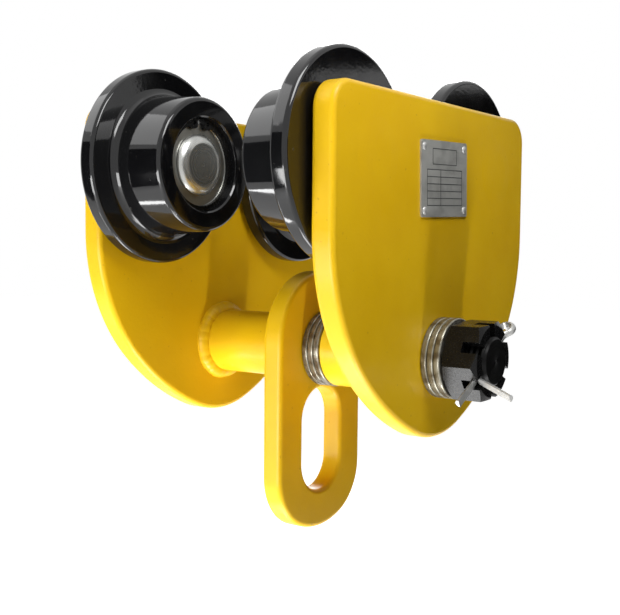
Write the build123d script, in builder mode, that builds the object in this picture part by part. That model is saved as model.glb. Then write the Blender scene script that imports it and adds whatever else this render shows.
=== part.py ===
from build123d import *

import os
from math import asin, cos, degrees, radians, sin, sqrt, tan

# Manual beam trolley, in millimetres.
# X runs along the load shaft with the nut at +X, Y runs along the beam and Z is up.
# The origin is midway between the side plates, on the plane where the treads roll on the beam flange.

# Wheels
flange_d = 100.0  # over the rim of the flange
flange_t = 9.0
tread_d = 72.0  # at the flange, the largest rolling diameter
tread_end_d = 67.0  # at the inner end, so the tread suits a tapered beam flange
wheel_w = 38.0  # flange and tread together
wheelbase = 119.0  # between the two axles of one side plate
wheel_play = 2.0  # between the back of the flange and the side plate
rim_r = 2.0  # rounding of the flange rim
root_r = 4.5  # fillet between flange and tread
tread_edge = 2.5  # rounding of the tread's inner end
mouth_edge = 0.8  # chamfer of the bearing seat's mouth
clip_recess = 3.6  # from the wheel's inner end to the retaining ring
back_gap = 1.0  # radial gap between the wheel's back bore and the axle collar

# Ball bearings, one shielded single-row bearing in each wheel
bearing_bore = 20.0
bearing_od = 47.0
bearing_w = 14.0
ball_d = 7.9
ball_count = 8
land_offset = 2.35  # from the ball circle to the ring lands, inwards and outwards
race_play = 0.06  # between a ball and the bottom of either race
race_open = 0.15  # by which a race's radius exceeds the ball's
cage_t = 2.0  # radial thickness of the cage
cage_wall = 0.8  # beside each pocket
pocket_play = 0.12
shield_t = 0.6
shield_inset = 0.4  # from the bearing's side to the shield
shield_lip = 1.6  # depth of the shield's seat beyond the outer ring's land
shield_gap = 0.35  # radial gap between a shield and the inner ring

# Retaining rings
clip_t = 1.75
clip_w = 3.9  # radial width
clip_depth = 1.25  # depth of its groove in the wheel
clip_lug_r = 3.2
clip_lug_hole_d = 2.5
clip_gap = 5.0  # between the two lug ends
clip_lug_trim = 0.7  # cut off each round lug by the gap
clip_play = 0.05

# Wheel axles
axle_collar_d = 28.0
axle_head_d = 31.0
axle_head_flat_d = 21.5
axle_head_t = 3.5
axle_head_rim = 1.0  # straight edge under the domed bevel of the head
axle_head_bulge = 0.4  # of the bevel, outwards
axle_spigot_d = 18.0
rivet_lip = 2.0  # flare of the riveted spigot in its countersink
rivet_proud = 0.15

# Side plates
plate_gap = 130.0  # between the two inner faces
plate_t = 12.0
plate_w = 189.0
plate_rise = 31.0  # from the axles up to the top edge
plate_corner_r = 13.0
plate_edge_r = 2.5
side_end_z = 2.0  # where the straight sides pass into the curved lower edge
plate_drop = 40.0  # from the load shaft down to the lowest point
bottom_r = 57.0
flank_slope = 22.0  # degrees from level where the bottom curve meets the flank
side_slope = 45.0  # degrees from level where the flank meets the side curve

# Load shaft
shaft_drop = 59.0  # from the running plane down to the shaft's axis
shaft_d = 35.0  # thick part between the left plate and the washers
journal_d = 25.0
thread_d = 24.0
thread_run_in = 4.0  # thread that shows under the last washers
shaft_tip = 1.5  # length that stands out of the nut
tip_chamfer = 1.2
bead = 4.5  # leg of the weld bead at the left plate
bead_swell = 1.0  # of the bead's face, outwards
plug_lip = 4.0  # flare of the plug weld in the left plate's outer face
plug_crown = 1.0  # by which the plug weld stands out of the plate

# Hanger
hanger_t = 12.0
hanger_w = 74.0
hanger_top = 41.0  # above the shaft's axis
hanger_drop = 97.5  # below the shaft's axis
hanger_corner_r = 30.0  # of the lower end's corners
hanger_end_r = 48.0  # of the lower end between its corners
hanger_edge_r = 2.5
slot_w = 34.0
slot_h = 56.0
slot_floor = 20.0  # metal under the slot

# Washers and spacer on the load shaft
washer_d = 40.0
washer_t = 3.5
washer_edge = 0.5
inner_washers = 3  # on each side of the hanger
outer_washers = 3  # between the right plate and the nut
spacer_d = 39.0
spacer_edge = 0.8
stack_gap = 0.04  # between the flat faces of stacked pieces

# Slotted nut and split pin
nut_af = 36.0  # across flats
nut_h = 18.5
nut_slot_h = 8.6
nut_slot_play = 0.75  # on each side of the pin
nut_chamfer = 30.0  # degrees
nut_land = 0.97  # of the width across flats, left flat at each end
pin_d = 4.0
pin_angle = 35.0  # the pin's slope above the beam direction, in degrees
pin_from_end = 3.2  # from the nut's outer end to the pin's axis
pin_split = 0.12  # gap between the two half-round legs
pin_bend_r = 2.8
long_leg = 22.0
long_leg_turn = 64.0
long_leg_bend = 0.3  # from the shaft's surface to the bend
short_leg = 12.5
short_leg_turn = 6.0
short_leg_bend = 6.5  # from the shaft's surface to the bend
eye_r = 3.2  # inside of the pin's eye
eye_neck_turn = 50.0  # degrees by which each half closes in from the eye to the shank
eye_seat = 0.5  # depth of the eye's neck in the nut's slot

# Data plate
tag_w = 46.5
tag_h = 37.0
tag_t = 0.8
tag_y = 0.8  # centre of the plate, along the beam
tag_turn = 2.0  # degrees, as it is riveted on a little askew
tag_below_axles = 7.0
tag_corner_r = 1.5
tag_rivet_d = 2.4
tag_rivet_head_d = 3.8
tag_rivet_head_h = 0.8
tag_rivet_depth = 4.0
tag_rivet_inset = 3.2
tag_rivet_taper = 20.0  # of the head's side, in degrees

# Clearances
fit = 0.02  # radial, between parts pressed or screwed together
running_play = 0.08  # radial, between the shaft and what turns or slides on it
swing_gap = 0.3  # between the hanger's faces and the washers beside it

# Places that follow from the sizes above
axle_z = tread_d / 2
shaft_z = -shaft_drop
plate_in = plate_gap / 2
plate_out = plate_in + plate_t
wheel_back = plate_in - wheel_play
wheel_front = wheel_back - wheel_w
flange_front = wheel_back - flange_t
clip_front = wheel_front + clip_recess
bearing_front = clip_front + clip_t + clip_play
bearing_mid = bearing_front + bearing_w / 2
bearing_back = bearing_front + bearing_w
ball_circle_r = (bearing_bore + bearing_od) / 4
inner_land_r = ball_circle_r - land_offset
outer_land_r = ball_circle_r + land_offset
race_r = ball_d / 2 + race_open
race_shift = race_open - race_play  # moves each race's centre so the play is left at its bottom
shield_seat_r = outer_land_r + shield_lip
clip_groove_r = bearing_od / 2 + clip_depth
washer_bore_r = journal_d / 2 + running_play
washer_step = washer_t + stack_gap
hanger_side = hanger_t / 2
inner_stack = hanger_side + swing_gap + inner_washers * washer_step
outer_stack = plate_out + stack_gap + outer_washers * washer_step
nut_end = outer_stack + nut_h
shaft_end = nut_end + shaft_tip
pin_x = nut_end - pin_from_end
tag_z = axle_z - tag_below_axles
tag_along = (0, cos(radians(tag_turn)), sin(radians(tag_turn)))

STATIONS = {
    "left_front": (-1, -1),
    "left_rear": (-1, 1),
    "right_front": (1, -1),
    "right_rear": (1, 1),
}


def save(piece, name):
    """Label a finished piece and write it to its own file."""
    piece.part.label = name
    export_step(piece.part, f"parts/{name}.step")


def axle_plane(side, end):
    """Section plane of a wheel: local X runs outwards from the trolley's middle, local Y is the radius."""
    centre = (0, end * wheelbase / 2, axle_z)
    return Plane(origin=centre, x_dir=(side, 0, 0), z_dir=(0, -side, 0))


def face_plane(side, end, distance):
    """Plane square to an axle, at a distance from the trolley's middle, facing outwards."""
    centre = (side * distance, end * wheelbase / 2, axle_z)
    return Plane(origin=centre, x_dir=(0, side, 0), z_dir=(side, 0, 0))


def axle_line(end):
    """Axis of the axles at one end of the trolley."""
    return Axis((0, end * wheelbase / 2, axle_z), (1, 0, 0))


def round_edges(piece, radius):
    """The circular edges of a piece that have a given radius."""
    circles = piece.edges().filter_by(GeomType.CIRCLE)
    return circles.filter_by(lambda edge: abs(edge.radius - radius) < fit)


def lower_edge_radii():
    """Radii of the side and flank arcs that join the straight sides to the bottom curve without a corner."""
    flank = radians(flank_slope)
    side = radians(side_slope)
    run = plate_w / 2 - bottom_r * sin(flank)
    rise = side_end_z - shaft_z + plate_drop - bottom_r * (1 - cos(flank))
    side_run = 1 - sin(side)
    flank_run = sin(side) - sin(flank)
    side_rise = cos(side)
    flank_rise = cos(flank) - cos(side)
    scale = side_run * flank_rise - flank_run * side_rise
    side_r = (run * flank_rise - flank_run * rise) / scale
    flank_r = (side_run * rise - run * side_rise) / scale
    return side_r, flank_r


def plate_blank(side):
    """A side plate with rounded edges and its axle holes, countersunk on the outer face."""
    side_r, flank_r = lower_edge_radii()
    spigot_r = axle_spigot_d / 2
    low_x = min(side * plate_in, side * plate_out)
    with BuildPart() as plate:
        with BuildSketch(Plane.YZ.offset(low_x)):
            with BuildLine():
                bottom = JernArc((0, shaft_z - plate_drop), (1, 0), bottom_r, flank_slope)
                flank = JernArc(bottom @ 1, bottom % 1, flank_r, side_slope - flank_slope)
                lower_side = JernArc(flank @ 1, flank % 1, side_r, 90 - side_slope)
                upright = Line(lower_side @ 1, (plate_w / 2, axle_z + plate_rise - plate_corner_r))
                corner = JernArc(upright @ 1, (0, 1), plate_corner_r, 90)
                Line(corner @ 1, (0, axle_z + plate_rise))
                mirror(about=Plane.YZ)
            make_face()
        extrude(amount=plate_t)
        outline = plate.edges().group_by(Axis.X)
        fillet(outline[0] + outline[-1], plate_edge_r)
        for end in (-1, 1):
            with Locations(face_plane(side, end, plate_out)):
                CounterSinkHole(spigot_r + fit, spigot_r + rivet_lip + fit, counter_sink_angle=90)
    return plate


def washer_stack(first_x, count):
    """A row of equal washers on the load shaft, starting at first_x and going towards +X."""
    with BuildPart() as stack:
        for number in range(count):
            with BuildSketch(Plane.YZ.offset(first_x + number * washer_step)):
                with Locations((0, shaft_z)):
                    Circle(washer_d / 2)
                    Circle(washer_bore_r, mode=Mode.SUBTRACT)
            extrude(amount=washer_t)
        chamfer(round_edges(stack, washer_d / 2), washer_edge)
    return stack


def flanged_wheel(side, end):
    """A cast wheel: flange at the back, tapered tread, bearing seat with a ring groove at the front."""
    seat_r = bearing_od / 2 + fit
    back_r = axle_collar_d / 2 + back_gap
    groove_back = bearing_front
    with BuildPart() as wheel:
        with BuildSketch(axle_plane(side, end)):
            with BuildLine():
                Polyline(
                    (wheel_front, seat_r + mouth_edge),
                    (wheel_front, tread_end_d / 2),
                    (flange_front, tread_d / 2),
                    (flange_front, flange_d / 2),
                    (wheel_back, flange_d / 2),
                    (wheel_back, back_r),
                    (bearing_back, back_r),
                    (bearing_back, seat_r),
                    (groove_back, seat_r),
                    (groove_back, clip_groove_r),
                    (clip_front - clip_play, clip_groove_r),
                    (clip_front - clip_play, seat_r),
                    (wheel_front + mouth_edge, seat_r),
                    close=True,
                )
            make_face()
        revolve(axis=axle_line(end))
        fillet(round_edges(wheel, flange_d / 2), rim_r)
        fillet(round_edges(wheel, tread_d / 2), root_r)
        fillet(round_edges(wheel, tread_end_d / 2), tread_edge)
    return wheel


def axle(side, end):
    """A turned axle: domed head, bearing journal, collar against the plate and riveted spigot."""
    head_front = bearing_front - axle_head_t
    head_rim = bearing_front - axle_head_rim
    head_r = axle_head_d / 2
    flat_r = axle_head_flat_d / 2
    spigot_r = axle_spigot_d / 2
    with BuildPart() as pin:
        with BuildSketch(axle_plane(side, end)):
            with BuildLine():
                Polyline((head_front, 0), (head_front, flat_r))
                ThreePointArc(
                    (head_front, flat_r),
                    ((head_front + head_rim) / 2 - axle_head_bulge, (flat_r + head_r) / 2 + axle_head_bulge),
                    (head_rim, head_r),
                )
                Polyline(
                    (head_rim, head_r),
                    (bearing_front, head_r),
                    (bearing_front, bearing_bore / 2 - fit),
                    (bearing_back, bearing_bore / 2 - fit),
                    (bearing_back, axle_collar_d / 2),
                    (plate_in, axle_collar_d / 2),
                    (plate_in, spigot_r),
                    (plate_out - rivet_lip, spigot_r),
                    (plate_out, spigot_r + rivet_lip),
                    (plate_out + rivet_proud, spigot_r + rivet_lip - rivet_proud),
                    (plate_out + rivet_proud, 0),
                    (head_front, 0),
                )
            make_face()
        revolve(axis=axle_line(end))
    return pin


def bearing_inner_ring(side, end):
    """Inner ring with its ball race."""
    with BuildPart() as ring:
        with BuildSketch(axle_plane(side, end)):
            with Locations((bearing_mid, (bearing_bore / 2 + inner_land_r) / 2)):
                Rectangle(bearing_w, inner_land_r - bearing_bore / 2)
            with Locations((bearing_mid, ball_circle_r + race_shift)):
                Circle(race_r, mode=Mode.SUBTRACT)
        revolve(axis=axle_line(end))
    return ring


def bearing_outer_ring(side, end):
    """Outer ring with its ball race and a seat for a shield on each side."""
    seat_w = shield_inset + shield_t
    with BuildPart() as ring:
        with BuildSketch(axle_plane(side, end)):
            with Locations((bearing_mid, (outer_land_r + bearing_od / 2) / 2)):
                Rectangle(bearing_w, bearing_od / 2 - outer_land_r)
            with Locations((bearing_mid, ball_circle_r - race_shift)):
                Circle(race_r, mode=Mode.SUBTRACT)
            for side_x in (bearing_front + seat_w / 2, bearing_back - seat_w / 2):
                with Locations((side_x, (outer_land_r + shield_seat_r) / 2)):
                    Rectangle(seat_w, shield_seat_r - outer_land_r, mode=Mode.SUBTRACT)
        revolve(axis=axle_line(end))
    return ring


def bearing_balls(side, end):
    """The ring of balls."""
    with BuildPart(face_plane(side, end, bearing_mid)) as balls:
        with PolarLocations(ball_circle_r, ball_count):
            Sphere(ball_d / 2)
    return balls


def bearing_cage(side, end):
    """A ring with one round pocket for each ball."""
    pocket_r = ball_d / 2 + pocket_play
    with BuildPart(face_plane(side, end, bearing_mid)) as cage:
        with BuildSketch(face_plane(side, end, bearing_mid)):
            Circle(ball_circle_r + cage_t / 2)
            Circle(ball_circle_r - cage_t / 2, mode=Mode.SUBTRACT)
        extrude(amount=pocket_r + cage_wall, both=True)
        with PolarLocations(ball_circle_r, ball_count):
            Cylinder(pocket_r, 2 * cage_t, rotation=(0, 90, 0), mode=Mode.SUBTRACT)
    return cage


def bearing_shields(side, end):
    """The two thin shields, one seated in each side of the outer ring."""
    with BuildPart() as shields:
        for near_x in (bearing_front + shield_inset, bearing_back - shield_inset - shield_t):
            with BuildSketch(face_plane(side, end, near_x)):
                Circle(shield_seat_r - fit)
                Circle(inner_land_r + shield_gap, mode=Mode.SUBTRACT)
            extrude(amount=shield_t)
    return shields


def retaining_ring(side, end):
    """A sprung ring with two drilled lugs, open at the top, in the wheel's groove."""
    outer_r = clip_groove_r - clip_play
    lug_x = clip_gap / 2 + clip_lug_r - clip_lug_trim
    lug_y = sqrt((outer_r - clip_lug_r - clip_play) ** 2 - lug_x**2)
    with BuildPart() as ring:
        with BuildSketch(face_plane(side, end, clip_front)):
            Circle(outer_r)
            Circle(outer_r - clip_w, mode=Mode.SUBTRACT)
            with Locations((-lug_x, lug_y), (lug_x, lug_y)):
                Circle(clip_lug_r)
                Circle(clip_lug_hole_d / 2, mode=Mode.SUBTRACT)
            with Locations((0, outer_r)):
                Rectangle(clip_gap, 2 * clip_w + 4 * clip_lug_r, mode=Mode.SUBTRACT)
        extrude(amount=clip_t)
    return ring


os.makedirs("parts", exist_ok=True)

# Left side plate, bored for the shaft's spigot and flared outside for the plug weld
left_side_plate = plate_blank(-1)
with left_side_plate:
    with Locations(Plane(origin=(-plate_out, 0, shaft_z), z_dir=(-1, 0, 0))):
        CounterSinkHole(journal_d / 2 + fit, journal_d / 2 + plug_lip + fit, counter_sink_angle=90)
save(left_side_plate, "left_side_plate")

# Right side plate, which slides on the shaft's journal, with blind holes for the data plate's rivets
right_side_plate = plate_blank(1)
with right_side_plate:
    with Locations(Plane(origin=(plate_out, 0, shaft_z), z_dir=(1, 0, 0))):
        Hole(journal_d / 2 + running_play)
    with Locations(Plane(origin=(plate_out, tag_y, tag_z), x_dir=tag_along, z_dir=(1, 0, 0))):
        with GridLocations(tag_w - 2 * tag_rivet_inset, tag_h - 2 * tag_rivet_inset, 2, 2):
            Hole(tag_rivet_d / 2 + fit, depth=tag_rivet_depth + stack_gap)
save(right_side_plate, "right_side_plate")

# Load shaft: plug weld, spigot, weld bead, thick part, journal and thread, cross-drilled for the pin
shaft_plane = Plane(origin=(0, 0, shaft_z), x_dir=(1, 0, 0), z_dir=(0, -1, 0))
shaft_axis = Axis((0, 0, shaft_z), (1, 0, 0))
pin_direction = Vector(0, -cos(radians(pin_angle)), -sin(radians(pin_angle)))
with BuildPart() as load_shaft:
    with BuildSketch(shaft_plane):
        with BuildLine():
            thick_r = shaft_d / 2
            spigot_r = journal_d / 2
            plug_edge = (-plate_out, spigot_r + plug_lip)
            bead_foot = (-plate_in, thick_r + bead)
            bead_top = (-plate_in + bead, thick_r)
            thread_start = outer_stack - thread_run_in
            crown_top = (-plate_out - plug_crown, 0)
            TangentArc(crown_top, plug_edge, tangent=(0, 1))
            Polyline(plug_edge, (-plate_out + plug_lip, spigot_r), (-plate_in, spigot_r), bead_foot)
            SagittaArc(bead_foot, bead_top, bead_swell)
            Polyline(
                bead_top,
                (-inner_stack, thick_r),
                (-inner_stack, spigot_r),
                (thread_start, spigot_r),
                (thread_start, thread_d / 2),
                (shaft_end - tip_chamfer, thread_d / 2),
                (shaft_end, thread_d / 2 - tip_chamfer),
                (shaft_end, 0),
                crown_top,
            )
        make_face()
    revolve(axis=shaft_axis)
    with Locations(Plane(origin=(pin_x, 0, shaft_z), z_dir=pin_direction)):
        Cylinder(pin_d / 2 + fit, 2 * thread_d, mode=Mode.SUBTRACT)
save(load_shaft, "load_shaft")

# Hanger: a flat link, round at the top and fuller below, with an oblong slot for the hoist's hook
with BuildPart() as hanger:
    with BuildSketch(Plane.YZ.offset(-hanger_side)):
        with BuildLine():
            end_turn = degrees(asin((hanger_w / 2 - hanger_corner_r) / (hanger_end_r - hanger_corner_r)))
            low_end = JernArc((0, shaft_z - hanger_drop), (1, 0), hanger_end_r, end_turn)
            low_corner = JernArc(low_end @ 1, low_end % 1, hanger_corner_r, 90 - end_turn)
            upright = Line(low_corner @ 1, (hanger_w / 2, shaft_z + hanger_top - hanger_w / 2))
            JernArc(upright @ 1, (0, 1), hanger_w / 2, 90)
            mirror(about=Plane.YZ)
        make_face()
        with Locations((0, shaft_z - hanger_drop + slot_floor + slot_h / 2)):
            SlotOverall(slot_h, slot_w, rotation=90, mode=Mode.SUBTRACT)
    extrude(amount=hanger_t)
    rims = hanger.edges().group_by(Axis.X)
    fillet(rims[0] + rims[-1], hanger_edge_r)
    with Locations(Plane(origin=(hanger_side, 0, shaft_z), z_dir=(1, 0, 0))):
        Hole(journal_d / 2 + running_play)
save(hanger, "hanger")

# Adjusting washers beside the hanger and outside the right plate
save(washer_stack(-inner_stack + stack_gap, inner_washers), "left_inner_washers")
save(washer_stack(hanger_side + swing_gap, inner_washers), "right_inner_washers")
save(washer_stack(plate_out + stack_gap, outer_washers), "outer_washers")

# Spacer sleeve between the right inner washers and the right plate
with BuildPart() as spacer_sleeve:
    with BuildSketch(Plane.YZ.offset(inner_stack)):
        with Locations((0, shaft_z)):
            Circle(spacer_d / 2)
            Circle(washer_bore_r, mode=Mode.SUBTRACT)
    extrude(amount=plate_in - stack_gap - inner_stack)
    chamfer(round_edges(spacer_sleeve, spacer_d / 2), spacer_edge)
save(spacer_sleeve, "spacer_sleeve")

# Slotted nut, chamfered at both ends, with a slot across each flat at its outer end
nut_corner_r = nut_af / 2 / cos(radians(30))
nut_land_r = nut_land * nut_af / 2
nut_bevel = (nut_corner_r - nut_land_r) * tan(radians(nut_chamfer))
nut_plane = Plane(origin=(nut_end, 0, shaft_z), x_dir=pin_direction, z_dir=(1, 0, 0))
with BuildPart(nut_plane) as slotted_nut:
    with BuildSketch(nut_plane):
        RegularPolygon(nut_af / 2, 6, major_radius=False, rotation=30)
        Circle(thread_d / 2 + fit, mode=Mode.SUBTRACT)
    extrude(amount=-nut_h)
    with BuildSketch(shaft_plane):
        with BuildLine():
            Polyline(
                (outer_stack, 0),
                (outer_stack, nut_land_r),
                (outer_stack + nut_bevel, nut_corner_r),
                (nut_end - nut_bevel, nut_corner_r),
                (nut_end, nut_land_r),
                (nut_end, 0),
                close=True,
            )
        make_face()
    revolve(axis=shaft_axis, mode=Mode.INTERSECT)
    with PolarLocations(nut_af / 2, 6):
        Box(
            nut_af / 2,
            pin_d + 2 * nut_slot_play,
            2 * nut_slot_h,
            mode=Mode.SUBTRACT,
        )
save(slotted_nut, "slotted_nut")

# Split pin: one half-round wire bent into an eye, its two legs spread on the far side of the nut
pin_plane = Plane(origin=(pin_x, 0, shaft_z), x_dir=pin_direction, z_dir=pin_direction.cross(Vector(1, 0, 0)))
neck_turn = radians(eye_neck_turn)
neck_r = eye_r * cos(neck_turn) / (1 - cos(neck_turn))
shank_start = eye_seat - nut_af / 2
eye_end = shank_start - eye_r - (eye_r + neck_r) * sin(neck_turn)
with BuildPart() as split_pin:
    legs = (
        (1, long_leg_bend, long_leg_turn, long_leg),
        (-1, short_leg_bend, short_leg_turn, short_leg),
    )
    for way, straight, turn, length in legs:
        with BuildLine(pin_plane) as wire_path:
            loop = JernArc((eye_end, 0), (0, way), eye_r, -way * (90 + eye_neck_turn))
            neck = JernArc(loop @ 1, loop % 1, neck_r, way * eye_neck_turn)
            shank = Line(neck @ 1, (thread_d / 2 + straight, 0))
            bend = JernArc(shank @ 1, shank % 1, pin_bend_r, way * turn)
            Line(bend @ 1, bend @ 1 + (bend % 1) * length)
        with BuildSketch(Plane(origin=loop @ 0, x_dir=pin_direction, z_dir=loop % 0)):
            Circle(pin_d / 2 - fit)
            with Locations(((pin_d - pin_split) / 2, 0)):
                Rectangle(pin_d, 2 * pin_d, mode=Mode.SUBTRACT)
        sweep(path=wire_path.line)
save(split_pin, "split_pin")

# Bare data plate on the right plate, and its four drive rivets
tag_plane = Plane(origin=(plate_out + stack_gap, tag_y, tag_z), x_dir=tag_along, z_dir=(1, 0, 0))
with BuildPart(tag_plane) as data_plate:
    with BuildSketch(tag_plane):
        RectangleRounded(tag_w, tag_h, tag_corner_r)
        with GridLocations(tag_w - 2 * tag_rivet_inset, tag_h - 2 * tag_rivet_inset, 2, 2):
            Circle(tag_rivet_d / 2 + fit, mode=Mode.SUBTRACT)
    extrude(amount=tag_t)
save(data_plate, "data_plate")

head_plane = tag_plane.offset(tag_t + stack_gap)
with BuildPart(head_plane) as data_plate_rivets:
    with BuildSketch(head_plane):
        with GridLocations(tag_w - 2 * tag_rivet_inset, tag_h - 2 * tag_rivet_inset, 2, 2):
            Circle(tag_rivet_head_d / 2)
    extrude(amount=tag_rivet_head_h, taper=tag_rivet_taper)
    with BuildSketch(head_plane):
        with GridLocations(tag_w - 2 * tag_rivet_inset, tag_h - 2 * tag_rivet_inset, 2, 2):
            Circle(tag_rivet_d / 2)
    extrude(amount=-(tag_t + tag_rivet_depth))
save(data_plate_rivets, "data_plate_rivets")

# Wheels with their axles, bearings and retaining rings
for station, (side, end) in STATIONS.items():
    save(flanged_wheel(side, end), f"{station}_wheel")
    save(axle(side, end), f"{station}_axle")
    save(bearing_inner_ring(side, end), f"{station}_bearing_inner_ring")
    save(bearing_outer_ring(side, end), f"{station}_bearing_outer_ring")
    save(bearing_balls(side, end), f"{station}_bearing_balls")
    save(bearing_cage(side, end), f"{station}_bearing_cage")
    save(bearing_shields(side, end), f"{station}_bearing_shields")
    save(retaining_ring(side, end), f"{station}_retaining_ring")
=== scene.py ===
import logging
import math
from collections.abc import Sequence
from dataclasses import dataclass
from enum import Enum
from typing import Protocol

import bmesh
import bpy
from mathutils import Matrix, Vector


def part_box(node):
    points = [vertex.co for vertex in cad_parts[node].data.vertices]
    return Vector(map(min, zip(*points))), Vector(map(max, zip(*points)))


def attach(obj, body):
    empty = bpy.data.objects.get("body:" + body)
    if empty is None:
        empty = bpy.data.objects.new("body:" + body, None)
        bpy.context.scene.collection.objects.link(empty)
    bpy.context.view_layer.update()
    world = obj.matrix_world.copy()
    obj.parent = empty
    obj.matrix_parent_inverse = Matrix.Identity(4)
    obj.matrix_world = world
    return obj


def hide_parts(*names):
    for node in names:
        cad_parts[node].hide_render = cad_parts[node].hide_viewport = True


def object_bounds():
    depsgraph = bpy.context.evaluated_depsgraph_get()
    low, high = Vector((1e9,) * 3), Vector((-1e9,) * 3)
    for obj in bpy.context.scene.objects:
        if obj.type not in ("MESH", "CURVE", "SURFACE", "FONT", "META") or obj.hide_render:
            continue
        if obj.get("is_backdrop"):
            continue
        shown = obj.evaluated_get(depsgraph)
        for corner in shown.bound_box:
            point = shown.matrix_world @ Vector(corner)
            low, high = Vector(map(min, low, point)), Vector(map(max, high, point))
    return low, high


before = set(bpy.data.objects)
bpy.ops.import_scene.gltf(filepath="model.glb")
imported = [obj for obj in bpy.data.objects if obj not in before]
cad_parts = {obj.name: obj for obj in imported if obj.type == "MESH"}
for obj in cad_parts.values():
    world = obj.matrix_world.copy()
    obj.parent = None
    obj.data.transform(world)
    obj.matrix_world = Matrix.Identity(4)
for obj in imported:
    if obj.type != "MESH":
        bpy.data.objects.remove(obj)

log = logging.getLogger("beam_trolley")

Colour = tuple[float, float, float, float]
Point = tuple[float, float, float]
Socket = bpy.types.NodeSocket
Feed = Socket | float | int | tuple | Vector
# Colour, roughness and normal of a material
Surface = tuple[Socket, Socket, Socket]

MERGE_DISTANCE = 1e-6
# Lays what is made round Z along X
ALONG_X = (0, math.pi / 2, 0)
# Range that a noise pattern mostly keeps to
NOISE_SPAN = (0.3, 0.7)


class Station(Enum):
    """The four places of a wheel: left or right plate, front or rear end."""

    LEFT_FRONT = "left_front"
    LEFT_REAR = "left_rear"
    RIGHT_FRONT = "right_front"
    RIGHT_REAR = "right_rear"


class Turning(Enum):
    """Which pieces a turned finish is centred on."""

    WHEELS = "wheels"
    SHAFT = "shaft"


class BareZone(Enum):
    """Where a partly painted piece is left as bare metal."""

    PAST_LIMIT = "past the limit along X"
    INSIDE_LIMIT = "nearer the middle than the limit"


class Blend(Enum):
    """What a Mix node blends, with its sockets: share, first and second, then the result."""

    VALUE = ("FLOAT", (0, 2, 3), 0)
    NORMAL = ("VECTOR", (0, 4, 5), 1)
    COLOUR = ("RGBA", (0, 6, 7), 2)


def middle_of(node: str) -> Vector:
    """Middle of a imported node's box, in the row frame.

    Args:
        node: Name of the node.

    Returns:
        The point, in metres.
    """
    low, high = (Vector(corner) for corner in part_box(node))
    return (low + high) / 2


@dataclass(frozen=True)
class AxleLine:
    """A line along X that pieces turn about."""

    y: float
    z: float

    @classmethod
    def through(cls, node: str) -> "AxleLine":
        """Line through the middle of a packed round node.

        Args:
            node: Name of the node.

        Returns:
            The line.
        """
        middle = middle_of(node)
        return cls(middle.y, middle.z)


SHAFT_LINE = AxleLine.through("spacer_sleeve")
WHEEL_LINE = AxleLine.through("right_rear_wheel")


class Graph:
    """Short calls for building a node tree."""

    def __init__(self, tree: bpy.types.NodeTree) -> None:
        """Keep the tree that the calls add to.

        Args:
            tree: A shader or geometry node tree.
        """
        self.tree = tree

    def node(self, kind: str, **settings: object) -> bpy.types.Node:
        """Add a node.

        Args:
            kind: Blender's name for the kind of node.
            settings: Properties to set on it.

        Returns:
            The node.
        """
        made = self.tree.nodes.new(kind)
        for name, value in settings.items():
            setattr(made, name, value)
        return made

    def feed(self, node: bpy.types.Node, **values: Feed) -> bpy.types.Node:
        """Link or set a node's inputs, named with underscores for spaces.

        Args:
            node: The node that receives the values.
            values: A socket to link, or a constant, for each input.

        Returns:
            The same node.
        """
        for name, value in values.items():
            self.set(node.inputs[name.replace("_", " ")], value)
        return node

    def set(self, socket: Socket, value: Feed) -> None:
        """Link a socket to another, or set it to a constant.

        Args:
            socket: The input.
            value: The other socket, or the constant.
        """
        if isinstance(value, Socket):
            self.tree.links.new(value, socket)
        else:
            socket.default_value = value


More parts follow.
